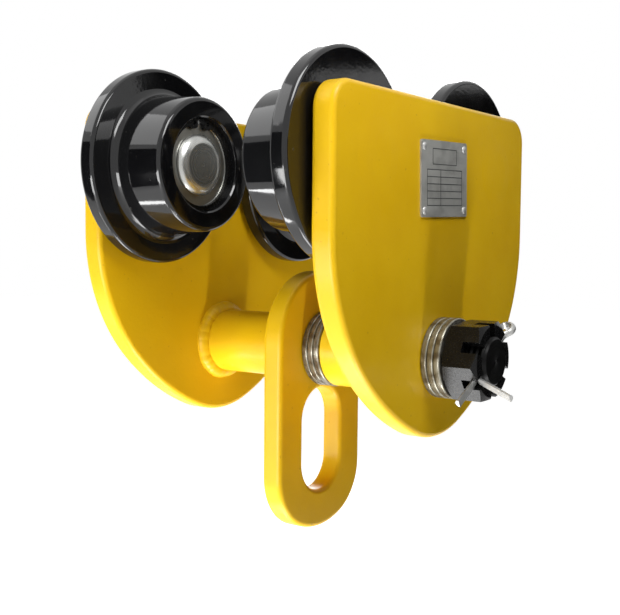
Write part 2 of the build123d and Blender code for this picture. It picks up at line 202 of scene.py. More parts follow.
class ShaderGraph(Graph):
    """Short calls for a surface material on Object coordinates."""

    # Share of the normal along X from which a face counts as square to X
    SQUARE_TO_X = (0.95, 0.995)
    GRAIN_DETAIL = 3.0

    def __init__(self, name: str) -> None:
        """Make a material with one Principled shader.

        Args:
            name: Name of the material.
        """
        self.material = bpy.data.materials.new(name)
        self.material.use_nodes = True
        super().__init__(self.material.node_tree)
        self.shader = self.tree.nodes["Principled BSDF"]
        self.place = self.node("ShaderNodeTexCoord").outputs["Object"]
        split = self.feed(self.node("ShaderNodeSeparateXYZ"), Vector=self.place)
        self.x, self.y, self.z = split.outputs

    def math(self, operation: str, first: Feed, second: Feed = 0.0) -> Socket:
        """Work out one value from two.

        Args:
            operation: Blender's name for the operation.
            first: First value.
            second: Second value, where the operation has one.

        Returns:
            The result's socket.
        """
        made = self.node("ShaderNodeMath", operation=operation)
        for socket, value in zip(made.inputs, (first, second)):
            self.set(socket, value)
        return made.outputs[0]

    def noise(self, scale: float, detail: float = 2.0, stretch: Point = (1, 1, 1)) -> Socket:
        """Cloudy pattern on the piece.

        Args:
            scale: Clouds to the metre.
            detail: Number of finer layers.
            stretch: Scale along each axis.

        Returns:
            Socket of values about 0.5.
        """
        spread = self.feed(self.node("ShaderNodeMapping"), Vector=self.place, Scale=stretch)
        made = self.node("ShaderNodeTexNoise")
        self.feed(made, Vector=spread.outputs[0], Scale=scale, Detail=detail)
        return made.outputs[0]

    def grain(self, along: Socket, scale: float) -> Socket:
        """Fine lines at right angles to a value, such as the rings left by turning.

        Args:
            along: The value that changes from line to line.
            scale: Lines to the metre.

        Returns:
            Socket of values about 0.5.
        """
        made = self.node("ShaderNodeTexNoise", noise_dimensions="1D")
        self.feed(made, W=along, Scale=scale, Detail=self.GRAIN_DETAIL)
        return made.outputs[0]

    def radius(self, turning: Turning) -> Socket:
        """Distance from the axis that a piece turns about.

        Args:
            turning: The wheels' axles or the load shaft.

        Returns:
            The distance's socket.
        """
        line = WHEEL_LINE if turning is Turning.WHEELS else SHAFT_LINE
        across = self.math("ABSOLUTE", self.y) if turning is Turning.WHEELS else self.y
        across = self.math("SUBTRACT", across, line.y)
        up = self.math("SUBTRACT", self.z, line.z)
        squares = (self.math("POWER", side, 2.0) for side in (across, up))
        return self.math("SQRT", self.math("ADD", *squares))

    def remap(
        self, value: Feed, low: float, high: float, to_low: float = 0.0, to_high: float = 1.0
    ) -> Socket:
        """Map a range of values smoothly to another and hold them inside it.

        Args:
            value: The value.
            low: Start of its range.
            high: End of its range.
            to_low: What the start becomes.
            to_high: What the end becomes.

        Returns:
            The result's socket.
        """
        made = self.node("ShaderNodeMapRange", interpolation_type="SMOOTHSTEP")
        self.feed(made, Value=value, From_Min=low, From_Max=high, To_Min=to_low, To_Max=to_high)
        return made.outputs[0]

    def blend(
        self, share: Feed, first: Feed, second: Feed, kind: Blend = Blend.COLOUR
    ) -> Socket:
        """Mix two colours, values or normals.

        Args:
            share: Share of the second one.
            first: The first one.
            second: The second one.
            kind: What they are.

        Returns:
            The mix's socket.
        """
        data_type, inputs, output = kind.value
        made = self.node("ShaderNodeMix", data_type=data_type)
        for index, value in zip(inputs, (share, first, second)):
            self.set(made.inputs[index], value)
        return made.outputs[output]

    def bump(self, height: Feed, depth: float, under: Socket | None = None) -> Socket:
        """Raise and sink the surface a little.

        Args:
            height: Pattern from 0 to 1.
            depth: Depth of the pattern in metres.
            under: Another bump that this one lies on.

        Returns:
            The normal's socket.
        """
        made = self.feed(self.node("ShaderNodeBump"), Height=height, Distance=depth)
        if under is not None:
            self.tree.links.new(under, made.inputs["Normal"])
        return made.outputs[0]

    def edges(self, low: float, high: float) -> Socket:
        """Share that is 1 on sharply curved outer edges, where the enamel gets a painted highlight.

        It is 0 on faces square to X, over which the curvature at their corners would fan out.
        Every joint turns about X, so these faces stay square to it.

        Args:
            low: Curvature where the edge starts, 0.5 being flat.
            high: Curvature where it is full.

        Returns:
            The share's socket.
        """
        surface = self.node("ShaderNodeNewGeometry").outputs
        normal = self.feed(self.node("ShaderNodeSeparateXYZ"), Vector=surface["Normal"])
        facing = self.math("ABSOLUTE", normal.outputs[0])
        rounded = self.remap(facing, *self.SQUARE_TO_X, 1.0, 0.0)
        return self.math("MULTIPLY", self.remap(surface["Pointiness"], low, high), rounded)


class Finish(Protocol):
    """A finish that can be put on a piece."""

    name: str
    slot: str

    def make(self) -> bpy.types.Material:
        """Build the material."""


@dataclass(frozen=True)
class Enamel:
    """Glossy stove enamel with orange peel, cloudy film thickness and a painted highlight on curved
    edges.
    """

    CLOUD_SCALE = 22.0
    CLOUD_SPAN = (0.35, 0.7)
    HIGHLIGHT_EDGE_SPAN = (0.5, 0.6)
    HIGHLIGHT_EDGE_SHARE = 0.5
    SPECK_SCALE = 430.0
    SPECK_SPAN = (0.74, 0.8)
    SPECK_SHARE = 0.55
    SHEEN_SCALE = 70.0
    PEEL_SCALE = 520.0

    name: str
    slot: str
    colour: Colour
    thick: Colour
    # Lighter colour for sharply curved outer edges: a painted highlight
    edge: Colour
    roughness: tuple[float, float]
    gloss: float
    peel: float
    speck: Colour

    def film(self, graph: ShaderGraph) -> Surface:
        """Nodes of the paint film.

        Args:
            graph: Graph of the material that gets the film.

        Returns:
            Sockets of its colour, roughness and normal.
        """
        clouds = graph.remap(graph.noise(self.CLOUD_SCALE, detail=4.0), *self.CLOUD_SPAN)
        colour = graph.blend(clouds, self.colour, self.thick)
        # Painted highlight: sharply curved outer edges turn towards the lighter edge colour
        edges = graph.math("MULTIPLY", graph.edges(*self.HIGHLIGHT_EDGE_SPAN), self.HIGHLIGHT_EDGE_SHARE)
        colour = graph.blend(edges, colour, self.edge)
        dots = graph.noise(self.SPECK_SCALE, detail=1.0)
        specks = graph.remap(dots, *self.SPECK_SPAN, 0.0, self.SPECK_SHARE)
        colour = graph.blend(specks, colour, self.speck)
        sheen = graph.noise(self.SHEEN_SCALE, detail=3.0)
        roughness = graph.remap(sheen, *NOISE_SPAN, *self.roughness)
        normal = graph.bump(graph.noise(self.PEEL_SCALE, detail=1.5), self.peel)
        return colour, roughness, normal

    def make(self) -> bpy.types.Material:
        """Build the material.

        Returns:
            The material.
        """
        graph = ShaderGraph(self.name)
        colour, roughness, normal = self.film(graph)
        graph.feed(graph.shader, Base_Color=colour, Roughness=roughness, Normal=normal)
        graph.feed(graph.shader, Specular_IOR_Level=self.gloss)
        return graph.material


@dataclass(frozen=True)
class TurnedMetal:
    """Metal with a lathe's fine rings, faint stains and sometimes a dull faced end."""

    FACED_EDGE = 0.0004
    RING_SCALE = 1900.0
    STAIN_SPAN = (0.4, 0.72)
    PIT_SCALE = 900.0

    name: str
    slot: str
    colour: Colour
    stain: Colour
    roughness: tuple[float, float]
    turning: Turning
    ring_depth: float
    metallic: float = 1.0
    stain_scale: float = 85.0
    faced_r: float = 0.0
    faced_shade: float = 1.0

    def surface(self, graph: ShaderGraph) -> Surface:
        """Nodes of the metal's surface.

        Args:
            graph: Graph of the material that gets the surface.

        Returns:
            Sockets of its colour, roughness and normal.
        """
        radius = graph.radius(self.turning)
        rings = graph.grain(graph.math("ADD", radius, graph.x), self.RING_SCALE)
        stains = graph.remap(graph.noise(self.stain_scale, detail=4.0), *self.STAIN_SPAN)
        colour = graph.blend(stains, self.colour, self.stain)
        if self.faced_r:
            faced = graph.remap(radius, self.faced_r - self.FACED_EDGE, self.faced_r, 1.0, 0.0)
            dull = tuple(self.faced_shade * share for share in self.stain[:3])
            colour = graph.blend(faced, colour, (*dull, 1.0))
        roughness = graph.remap(rings, *NOISE_SPAN, *self.roughness)
        ridges = graph.bump(rings, self.ring_depth)
        normal = graph.bump(graph.noise(self.PIT_SCALE), self.ring_depth / 2, ridges)
        return colour, roughness, normal

    def make(self) -> bpy.types.Material:
        """Build the material.

        Returns:
            The material.
        """
        graph = ShaderGraph(self.name)
        colour, roughness, normal = self.surface(graph)
        graph.feed(graph.shader, Base_Color=colour, Roughness=roughness, Normal=normal)
        graph.feed(graph.shader, Metallic=self.metallic)
        return graph.material


@dataclass(frozen=True)
class PartPainted:
    """A turned piece, enamelled outside and bare where others run on it or screw to it."""

    HALF_PITCH = 0.5

    name: str
    slot: str
    paint: Enamel
    metal: TurnedMetal
    zone: BareZone
    limit: float
    thread_from: float = 0.0
    thread_pitch: float = 0.0
    thread_depth: float = 0.0
    change: float = 0.0006

    def thread(self, graph: ShaderGraph) -> Socket:
        """Height of a screw thread round the load shaft.

        Args:
            graph: Graph of the material.

        Returns:
            Socket of the height, from 0 to 0.5.
        """
        up = graph.math("SUBTRACT", graph.z, SHAFT_LINE.z)
        turn = graph.math("DIVIDE", graph.math("ARCTAN2", up, graph.y), math.tau)
        step = graph.math("ADD", graph.math("DIVIDE", graph.x, self.thread_pitch), turn)
        ridge = graph.math("PINGPONG", graph.math("FRACT", step), self.HALF_PITCH)
        return graph.math("MULTIPLY", ridge, graph.math("GREATER_THAN", graph.x, self.thread_from))

    def make(self) -> bpy.types.Material:
        """Build the material.

        Returns:
            The material.
        """
        graph = ShaderGraph(self.name)
        colour, roughness, normal = self.paint.film(graph)
        bare_colour, bare_roughness, bare_normal = self.metal.surface(graph)
        start = self.limit - self.change
        if self.zone is BareZone.PAST_LIMIT:
            bare = graph.remap(graph.x, start, self.limit)
        else:
            bare = graph.remap(graph.math("ABSOLUTE", graph.x), start, self.limit, 1.0, 0.0)
        if self.thread_pitch:
            bare_normal = graph.bump(self.thread(graph), self.thread_depth, bare_normal)
        graph.feed(
            graph.shader,
            Base_Color=graph.blend(bare, colour, bare_colour),
            Roughness=graph.blend(bare, roughness, bare_roughness, Blend.VALUE),
            Normal=graph.blend(bare, normal, bare_normal, Blend.NORMAL),
            Metallic=graph.math("MULTIPLY", bare, self.metal.metallic),
            Specular_IOR_Level=self.paint.gloss,
        )
        return graph.material


@dataclass(frozen=True)
class WorkedMetal:
    """Metal with a fine grain along one axis, as drawn, rolled or blackened stock has."""

    STAIN_SCALE = 120.0
    STAIN_SPAN = (0.4, 0.7)
    GRAIN_SCALE = 900.0

    name: str
    slot: str
    colour: Colour
    stain: Colour
    roughness: tuple[float, float]
    stretch: Point
    grain_depth: float
    metallic: float = 1.0
    gloss: float = 0.5

    def make(self) -> bpy.types.Material:
        """Build the material.

        Returns:
            The material.
        """
        graph = ShaderGraph(self.name)
        stains = graph.remap(graph.noise(self.STAIN_SCALE, detail=4.0), *self.STAIN_SPAN)
        grain = graph.noise(self.GRAIN_SCALE, detail=3.0, stretch=self.stretch)
        graph.feed(
            graph.shader,
            Base_Color=graph.blend(stains, self.colour, self.stain),
            Roughness=graph.remap(grain, *NOISE_SPAN, *self.roughness),
            Normal=graph.bump(grain, self.grain_depth),
            Metallic=self.metallic,
            Specular_IOR_Level=self.gloss,
        )
        return graph.material


YELLOW = Enamel(
    name="yellow_enamel",
    slot="yellow_paint",
    colour=(0.78, 0.48, 0.006, 1),
    thick=(0.73, 0.43, 0.004, 1),
    # Lighter lemon edge colour: a painted highlight
    edge=(0.88, 0.62, 0.02, 1),
    roughness=(0.3, 0.4),
    gloss=0.3,
    peel=0.00006,
    speck=(0.5, 0.25, 0.01, 1),
)
BLACK = Enamel(
    name="black_enamel",
    slot="black_wheel",
    colour=(0.0035, 0.0035, 0.004, 1),
    thick=(0.006, 0.0062, 0.0066, 1),
    # Greyer edge colour: a painted highlight
    edge=(0.01, 0.01, 0.011, 1),
    roughness=(0.05, 0.09),
    gloss=0.48,
    peel=0.000009,
    speck=(0.05, 0.05, 0.045, 1),
)
TURNED_STEEL = TurnedMetal(
    name="turned_steel",
    slot="bright_steel",
    colour=(0.52, 0.52, 0.5, 1),
    stain=(0.4, 0.41, 0.39, 1),
    roughness=(0.22, 0.28),
    turning=Turning.WHEELS,
    ring_depth=0.000001,
    metallic=0.85,
    faced_r=0.0108,
    faced_shade=0.64,
)
BARE_SHAFT = TurnedMetal(
    name="oiled_shaft",
    slot="yellow_paint",
    colour=(0.012, 0.012, 0.012, 1),
    stain=(0.007, 0.0068, 0.0066, 1),
    roughness=(0.3, 0.45),
    turning=Turning.SHAFT,
    ring_depth=0.00003,
)
ZINC = TurnedMetal(
    name="zinc_washers",
    slot="zinc_plate",
    colour=(0.27, 0.26, 0.215, 1),
    stain=(0.11, 0.09, 0.06, 1),
    roughness=(0.26, 0.4),
    turning=Turning.SHAFT,
    ring_depth=0.00003,
    metallic=0.75,
    stain_scale=240.0,
)
SHIELD_STEEL = TurnedMetal(
    name="shield_steel",
    slot="bright_steel",
    colour=(0.34, 0.34, 0.32, 1),
    stain=(0.24, 0.24, 0.215, 1),
    roughness=(0.3, 0.42),
    turning=Turning.WHEELS,
    ring_depth=0.00002,
)
BEARING_STEEL = TurnedMetal(
    name="bearing_steel",
    slot="bright_steel",
    colour=(0.63, 0.63, 0.62, 1),
    stain=(0.55, 0.55, 0.53, 1),
    roughness=(0.1, 0.18),
    turning=Turning.WHEELS,
    ring_depth=0.00001,
)
CAGE_BRASS = WorkedMetal(
    name="cage_brass",
    slot="brass_cage",
    colour=(0.62, 0.42, 0.14, 1),
    stain=(0.48, 0.32, 0.12, 1),
    roughness=(0.26, 0.4),
    stretch=(1, 1, 1),
    grain_depth=0.00002,
)
BLACK_OXIDE = WorkedMetal(
    name="black_oxide",
    slot="black_oxide",
    colour=(0.004, 0.004, 0.0042, 1),
    stain=(0.008, 0.0078, 0.0074, 1),
    roughness=(0.2, 0.3),
    stretch=(1, 1, 1),
    grain_depth=0.000005,
    metallic=0.0,
    gloss=0.17,
)
DRAWN_STEEL = WorkedMetal(
    name="drawn_steel",
    slot="bright_steel",
    colour=(0.48, 0.48, 0.47, 1),
    stain=(0.37, 0.37, 0.35, 1),
    roughness=(0.34, 0.46),
    stretch=(0.2, 1, 1),
    grain_depth=0.00002,
    metallic=0.7,
)
TAG_METAL = WorkedMetal(
    name="tag_metal",
    slot="data_plate_metal",
    colour=(0.4, 0.4, 0.375, 1),
    stain=(0.31, 0.31, 0.29, 1),
    roughness=(0.3, 0.46),
    stretch=(1, 0.05, 1),
    grain_depth=0.00002,
    metallic=0.3,
)
TAG_INK = WorkedMetal(
    name="tag_ink",
    slot="data_plate_metal",
    colour=(0.03, 0.034, 0.035, 1),
    stain=(0.06, 0.062, 0.06, 1),
    roughness=(0.4, 0.55),
    stretch=(1, 1, 1),
    grain_depth=0.00001,
    metallic=0.0,
)


class Paintshop:
    """Keeps one material for each finish and puts finishes on pieces."""

    def __init__(self) -> None:
        """Start with no material made."""
        self.made: dict[str, bpy.types.Material] = {}

    def material(self, finish: Finish) -> bpy.types.Material:
        """Material of a finish, built on its first use.

        Args:
            finish: The finish.

        Returns:
            The material.
        """
        if finish.name not in self.made:
            self.made[finish.name] = finish.make()
        return self.made[finish.name]

    def dress(self, finish: Finish, *nodes: str) -> None:
        """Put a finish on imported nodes.

        Args:
            finish: The finish.
            nodes: Names of the nodes.
        """
        for node in nodes:
            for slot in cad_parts[node].material_slots:
                slot.material = self.material(finish)
            log.info("%s dressed in %s", node, finish.name)

    def seat(self, piece: bpy.types.Object, finish: Finish, body: str, *nodes: str) -> None:
        """Join a new piece to its body, and hide the nodes that it stands for.

        Args:
            piece: The piece.
            finish: Its finish; not used.
            body: The body that it moves with.
            nodes: The nodes that it stands for.
        """
        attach(piece, body)
        if nodes:
            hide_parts(*nodes)
        log.info("%s built on %s, %d faces", piece.name, body, len(piece.data.polygons))


def finish_mesh(piece: bpy.types.Object, sharp_degrees: float = 40.0) -> None:
    """Close a new piece's seams, turn its faces outwards and shade it smooth between sharp edges.

    Args:
        piece: The piece.
        sharp_degrees: Edges that turn by more than this stay sharp.
    """
    shape = bmesh.new()
    shape.from_mesh(piece.data)
    bmesh.ops.remove_doubles(shape, verts=shape.verts, dist=MERGE_DISTANCE)
    bmesh.ops.recalc_face_normals(shape, faces=shape.faces)
    shape.to_mesh(piece.data)
    shape.free()
    piece.data.shade_smooth()
    piece.data.set_sharp_from_angle(angle=math.radians(sharp_degrees))
    piece.modifiers.new("even_shading", "WEIGHTED_NORMAL").keep_sharp = True


class GeometryGraph(Graph):
    """A geometry node tree with named inputs that makes pieces."""

    FINISH = "Finish"

    def __init__(self, name: str, inputs: dict[str, str]) -> None:
        """Start the tree with its inputs.

        Args:
            name: Name of the tree.
            inputs: Kind of socket for each named input.
        """
        super().__init__(bpy.data.node_groups.new(name, "GeometryNodeTree"))
        face = self.tree.interface
        face.new_socket("Geometry", in_out="INPUT", socket_type="NodeSocketGeometry")
        self.identifiers: dict[str, str] = {}
        for title, kind in (inputs | {self.FINISH: "NodeSocketMaterial"}).items():
            socket = face.new_socket(title, in_out="INPUT", socket_type=kind)
            self.identifiers[title] = socket.identifier
        face.new_socket("Geometry", in_out="OUTPUT", socket_type="NodeSocketGeometry")
        self.given = self.node("NodeGroupInput").outputs

    def math(self, operation: str, *values: Feed) -> Socket:
        """Work out one value from others.

        Args:
            operation: Blender's name for the operation.
            values: The values, as sockets or constants.

        Returns:
            The result's socket.
        """
        made = self.node("ShaderNodeMath", operation=operation)
        for socket, value in zip(made.inputs, values):
            self.set(socket, value)
        return made.outputs[0]

    def vector(self, x: Feed, y: Feed, z: Feed) -> Socket:
        """Join three values to a vector.

        Args:
            x: Value along X.
            y: Value along Y.
            z: Value along Z.

        Returns:
            The vector's socket.
        """
        return self.feed(self.node("ShaderNodeCombineXYZ"), X=x, Y=y, Z=z).outputs[0]

    def circle(self, steps: Feed, radius: Feed) -> Socket:
        """A round curve about Z.

        Args:
            steps: Number of points.
            radius: Its radius.

        Returns:
            The curve's socket.
        """
        made = self.node("GeometryNodeCurvePrimitiveCircle")
        return self.feed(made, Resolution=steps, Radius=radius).outputs[0]

    def moved(self, geometry: Socket, **change: Feed) -> Socket:
        """Turn, move or scale a shape.

        Args:
            geometry: The shape.
            change: Its Rotation, Translation or Scale.

        Returns:
            The moved shape's socket.
        """
        made = self.node("GeometryNodeTransform")
        return self.feed(made, Geometry=geometry, **change).outputs[0]

    def copied(self, points: Socket, shape: Socket) -> Socket:
        """Set a copy of a shape at each point.

        Args:
            points: The points.
            shape: The shape.

        Returns:
            Socket of the copies.
        """
        made = self.node("GeometryNodeInstanceOnPoints")
        return self.feed(made, Points=points, Instance=shape).outputs[0]

    def close(self, geometry: Socket) -> None:
        """End the tree: make copies real and give them their material.

        Args:
            geometry: What the tree has made.
        """
        real = self.feed(self.node("GeometryNodeRealizeInstances"), Geometry=geometry)
        painted = self.node("GeometryNodeSetMaterial")
        self.feed(painted, Geometry=real.outputs[0], Material=self.given[self.FINISH])
        self.feed(self.node("NodeGroupOutput"), Geometry=painted.outputs[0])

    def make(
        self,
        name: str,
        material: bpy.types.Material,
        values: dict[str, object],
        base: bpy.types.Mesh | None = None,
    ) -> bpy.types.Object:
        """Run the tree once and keep its result as a plain mesh.

        Args:
            name: Name of the piece.
            material: Its material.
            values: Value of each named input.
            base: Mesh that the tree starts from, if it needs one.

        Returns:
            The piece.
        """
        piece = bpy.data.objects.new(name, base or bpy.data.meshes.new(name))
        bpy.context.scene.collection.objects.link(piece)
        run = piece.modifiers.new(name, "NODES")
        run.node_group = self.tree
        for title, value in (values | {self.FINISH: material}).items():
            run[self.identifiers[title]] = value
        depsgraph = bpy.context.evaluated_depsgraph_get()
        mesh = bpy.data.meshes.new_from_object(piece.evaluated_get(depsgraph), depsgraph=depsgraph)
        piece.modifiers.remove(run)
        piece.data = mesh
        mesh.name = name
        return piece


@dataclass(frozen=True)
class Corner:
    """A corner of a turned piece's section."""

    x: float
    radius: float
    rounding: float = 0.0


class TurningLathe(GeometryGraph):
    """Turns a section about a line along X, rounds its corners and repeats it along the line."""

    CORNER_STEPS = 5
    PATH_RADIUS = 0.01
    ROUNDING = "rounding"

    def __init__(self) -> None:
        """Build the tree."""
        super().__init__(
            "turning_lathe",
            {
                "Segments": "NodeSocketInt",
                "Corner Steps": "NodeSocketInt",
                "Copies": "NodeSocketInt",
                "Pitch": "NodeSocketFloat",
                "Axle Y": "NodeSocketFloat",
                "Axle Z": "NodeSocketFloat",
            },
        )
        given = self.given
        section = self.feed(self.node("GeometryNodeMeshToCurve"), Mesh=given["Geometry"])
        amount = self.node("GeometryNodeInputNamedAttribute", data_type="FLOAT")
        self.feed(amount, Name=self.ROUNDING)
        rounded = self.node("GeometryNodeFilletCurve", mode="POLY")
        self.feed(rounded, Curve=section.outputs[0], Count=given["Corner Steps"])
        self.feed(rounded, Radius=amount.outputs[0])
        path = self.circle(given["Segments"], self.PATH_RADIUS)
        turned = self.node("GeometryNodeCurveToMesh")
        self.feed(turned, Curve=path, Profile_Curve=rounded.outputs[0])
        axle = self.vector(0.0, given["Axle Y"], given["Axle Z"])
        laid = self.moved(turned.outputs[0], Rotation=ALONG_X, Translation=axle)
        row = self.node("GeometryNodeMeshLine")
        self.feed(row, Count=given["Copies"], Offset=self.vector(given["Pitch"], 0.0, 0.0))
        self.close(self.copied(row.outputs[0], laid))

    def section(self, corners: Sequence[Corner]) -> bpy.types.Mesh:
        """Closed outline of a section, with the rounding of each corner.

        Args:
            corners: The corners in order round the section.

        Returns:
            A mesh of edges.
        """
        count = len(corners)
        mesh = bpy.data.meshes.new("section")
        points = [(corner.radius - self.PATH_RADIUS, -corner.x, 0.0) for corner in corners]
        mesh.from_pydata(points, [(i, (i + 1) % count) for i in range(count)], [])
        rounding = mesh.attributes.new(self.ROUNDING, "FLOAT", "POINT")
        for item, corner in zip(rounding.data, corners):
            item.value = corner.rounding
        return mesh

    def turn(
        self,
        name: str,
        material: bpy.types.Material,
        corners: Sequence[Corner],
        line: AxleLine,
        copies: int = 1,
        pitch: float = 0.0,
        segments: int = 160,
    ) -> bpy.types.Object:
        """Turn one piece, or a row of equal ones.

        Args:
            name: Name of the piece.
            material: Its material.
            corners: Its section.
            line: The line that it is turned about.
            copies: Number of equal pieces.
            pitch: Distance from one to the next, along X.
            segments: Faces round the piece.

        Returns:
            The piece.
        """
        values = {
            "Segments": segments,
            "Corner Steps": self.CORNER_STEPS,
            "Copies": copies,
            "Pitch": pitch,
            "Axle Y": line.y,
            "Axle Z": line.z,
        }
        piece = self.make(name, material, values, self.section(corners))
        finish_mesh(piece)
        return piece


class WeldingTorch(GeometryGraph):
    """Lays a rippled weld bead round a shaft."""

    RIPPLE_STEPS = 10
    TUBE_STEPS = 24
    CLOUD_SCALE = 130.0
    CLOUD_MIDDLE = 0.5
    # Brings the top of the arch s (1 - s) to 1
    ARCH_GAIN = 4.0

    def __init__(self) -> None:
        """Build the tree."""
        super().__init__(
            "welding_torch",
            {
                "Ring Radius": "NodeSocketFloat",
                "Tube Radius": "NodeSocketFloat",
                "Ripples": "NodeSocketInt",
                "Ripple Depth": "NodeSocketFloat",
                "Unevenness": "NodeSocketFloat",
                "Seed": "NodeSocketFloat",
                "Place": "NodeSocketVector",
            },
        )
        given = self.given
        steps = self.math("MULTIPLY", given["Ripples"], float(self.RIPPLE_STEPS))
        path = self.circle(steps, given["Ring Radius"])
        along = self.node("GeometryNodeSplineParameter").outputs["Factor"]
        share = self.math("FRACT", self.math("MULTIPLY", along, given["Ripples"]))
        arch = self.math("MULTIPLY", share, self.math("SUBTRACT", 1.0, share))
        arch = self.math("MULTIPLY", arch, self.ARCH_GAIN)
        ripple = self.math("MULTIPLY", arch, given["Ripple Depth"])
        cloud = self.node("ShaderNodeTexNoise", noise_dimensions="4D")
        place = self.node("GeometryNodeInputPosition").outputs[0]
        self.feed(cloud, Vector=place, W=given["Seed"], Scale=self.CLOUD_SCALE)
        sway = self.math("SUBTRACT", cloud.outputs[0], self.CLOUD_MIDDLE)
        sway = self.math("MULTIPLY", sway, given["Unevenness"])
        swell = self.math("ADD", 1.0, self.math("ADD", ripple, sway))
        tube = self.circle(self.TUBE_STEPS, given["Tube Radius"])
        bead = self.node("GeometryNodeCurveToMesh")
        self.feed(bead, Curve=path, Profile_Curve=tube, Scale=swell)
        self.close(self.moved(bead.outputs[0], Rotation=ALONG_X, Translation=given["Place"]))


class RivetGun(GeometryGraph):
    """Sets domed rivet heads at the corners of a rectangle on a face square to X."""

    HEAD_SEGMENTS = 28
    HEAD_RINGS = 14

    def __init__(self) -> None:
        """Build the tree."""
        super().__init__(
            "rivet_gun",
            {
                "Across": "NodeSocketFloat",
                "Up": "NodeSocketFloat",
                "Head Radius": "NodeSocketFloat",
                "Head Height": "NodeSocketFloat",
                "Place": "NodeSocketVector",
                "Turn": "NodeSocketVector",
            },
        )
        given = self.given
        corners = self.node("GeometryNodeMeshGrid")
        self.feed(corners, Size_X=given["Up"], Size_Y=given["Across"], Vertices_X=2, Vertices_Y=2)
        upright = self.moved(corners.outputs[0], Rotation=ALONG_X)
        stood = self.moved(upright, Rotation=given["Turn"], Translation=given["Place"])
        ball = self.node("GeometryNodeMeshUVSphere")
        self.feed(ball, Segments=self.HEAD_SEGMENTS, Rings=self.HEAD_RINGS)
        self.feed(ball, Radius=given["Head Radius"])
        flat = self.math("DIVIDE", given["Head Height"], given["Head Radius"])
        head = self.moved(ball.outputs[0], Scale=self.vector(flat, 1.0, 1.0))
        self.close(self.copied(stood, head))


class FormRuler(GeometryGraph):
    """Rules an empty form of rows and two columns on a face square to X."""

    def __init__(self) -> None:
        """Build the tree."""
        super().__init__(
            "form_ruler",
            {
                "Width": "NodeSocketFloat",
                "Height": "NodeSocketFloat",
                "Rows": "NodeSocketInt",
                "Column": "NodeSocketFloat",
                "Line": "NodeSocketFloat",
                "Proud": "NodeSocketFloat",
                "Place": "NodeSocketVector",
                "Turn": "NodeSocketVector",
            },
        )
        given = self.given
        width, height = given["Width"], given["Height"]
        level = self.bar(width, given["Line"])
        upright = self.bar(given["Line"], height)
        lowest = self.vector(0.0, 0.0, self.math("MULTIPLY", height, -0.5))
        row_step = self.vector(0.0, 0.0, self.math("DIVIDE", height, given["Rows"]))
        rows = self.ruled(level, self.math("ADD", given["Rows"], 1), lowest, row_step)
        near = self.math("MULTIPLY", width, -0.5)
        column = self.math("ADD", near, self.math("MULTIPLY", width, given["Column"]))
        none = self.vector(0.0, 0.0, 0.0)
        across = self.vector(0.0, width, 0.0)
        sides = self.ruled(upright, 2, self.vector(0.0, near, 0.0), across)
        divider = self.ruled(upright, 1, self.vector(0.0, column, 0.0), none)
        form = self.node("GeometryNodeJoinGeometry")
        for part in (rows, sides, divider):
            self.tree.links.new(part, form.inputs[0])
        turn, place = given["Turn"], given["Place"]
        self.close(self.moved(form.outputs[0], Rotation=turn, Translation=place))

    def bar(self, across: Feed, up: Feed) -> Socket:
        """One bar, proud of the face.

        Args:
            across: Its size along Y.
            up: Its size along Z.

        Returns:
            The bar's socket.
        """
        size = self.vector(self.given["Proud"], across, up)
        return self.feed(self.node("GeometryNodeMeshCube"), Size=size).outputs[0]

    def ruled(self, bar: Socket, count: Feed, start: Feed, step: Feed) -> Socket:
        """A row of equal bars.

        Args:
            bar: One bar.
            count: Number of bars.
            start: Place of the first.
            step: From one to the next.

        Returns:
            Socket of the bars.
        """
        row = self.node("GeometryNodeMeshLine")
        self.feed(row, Count=count, Start_Location=start, Offset=step)
        return self.copied(row.outputs[0], bar)


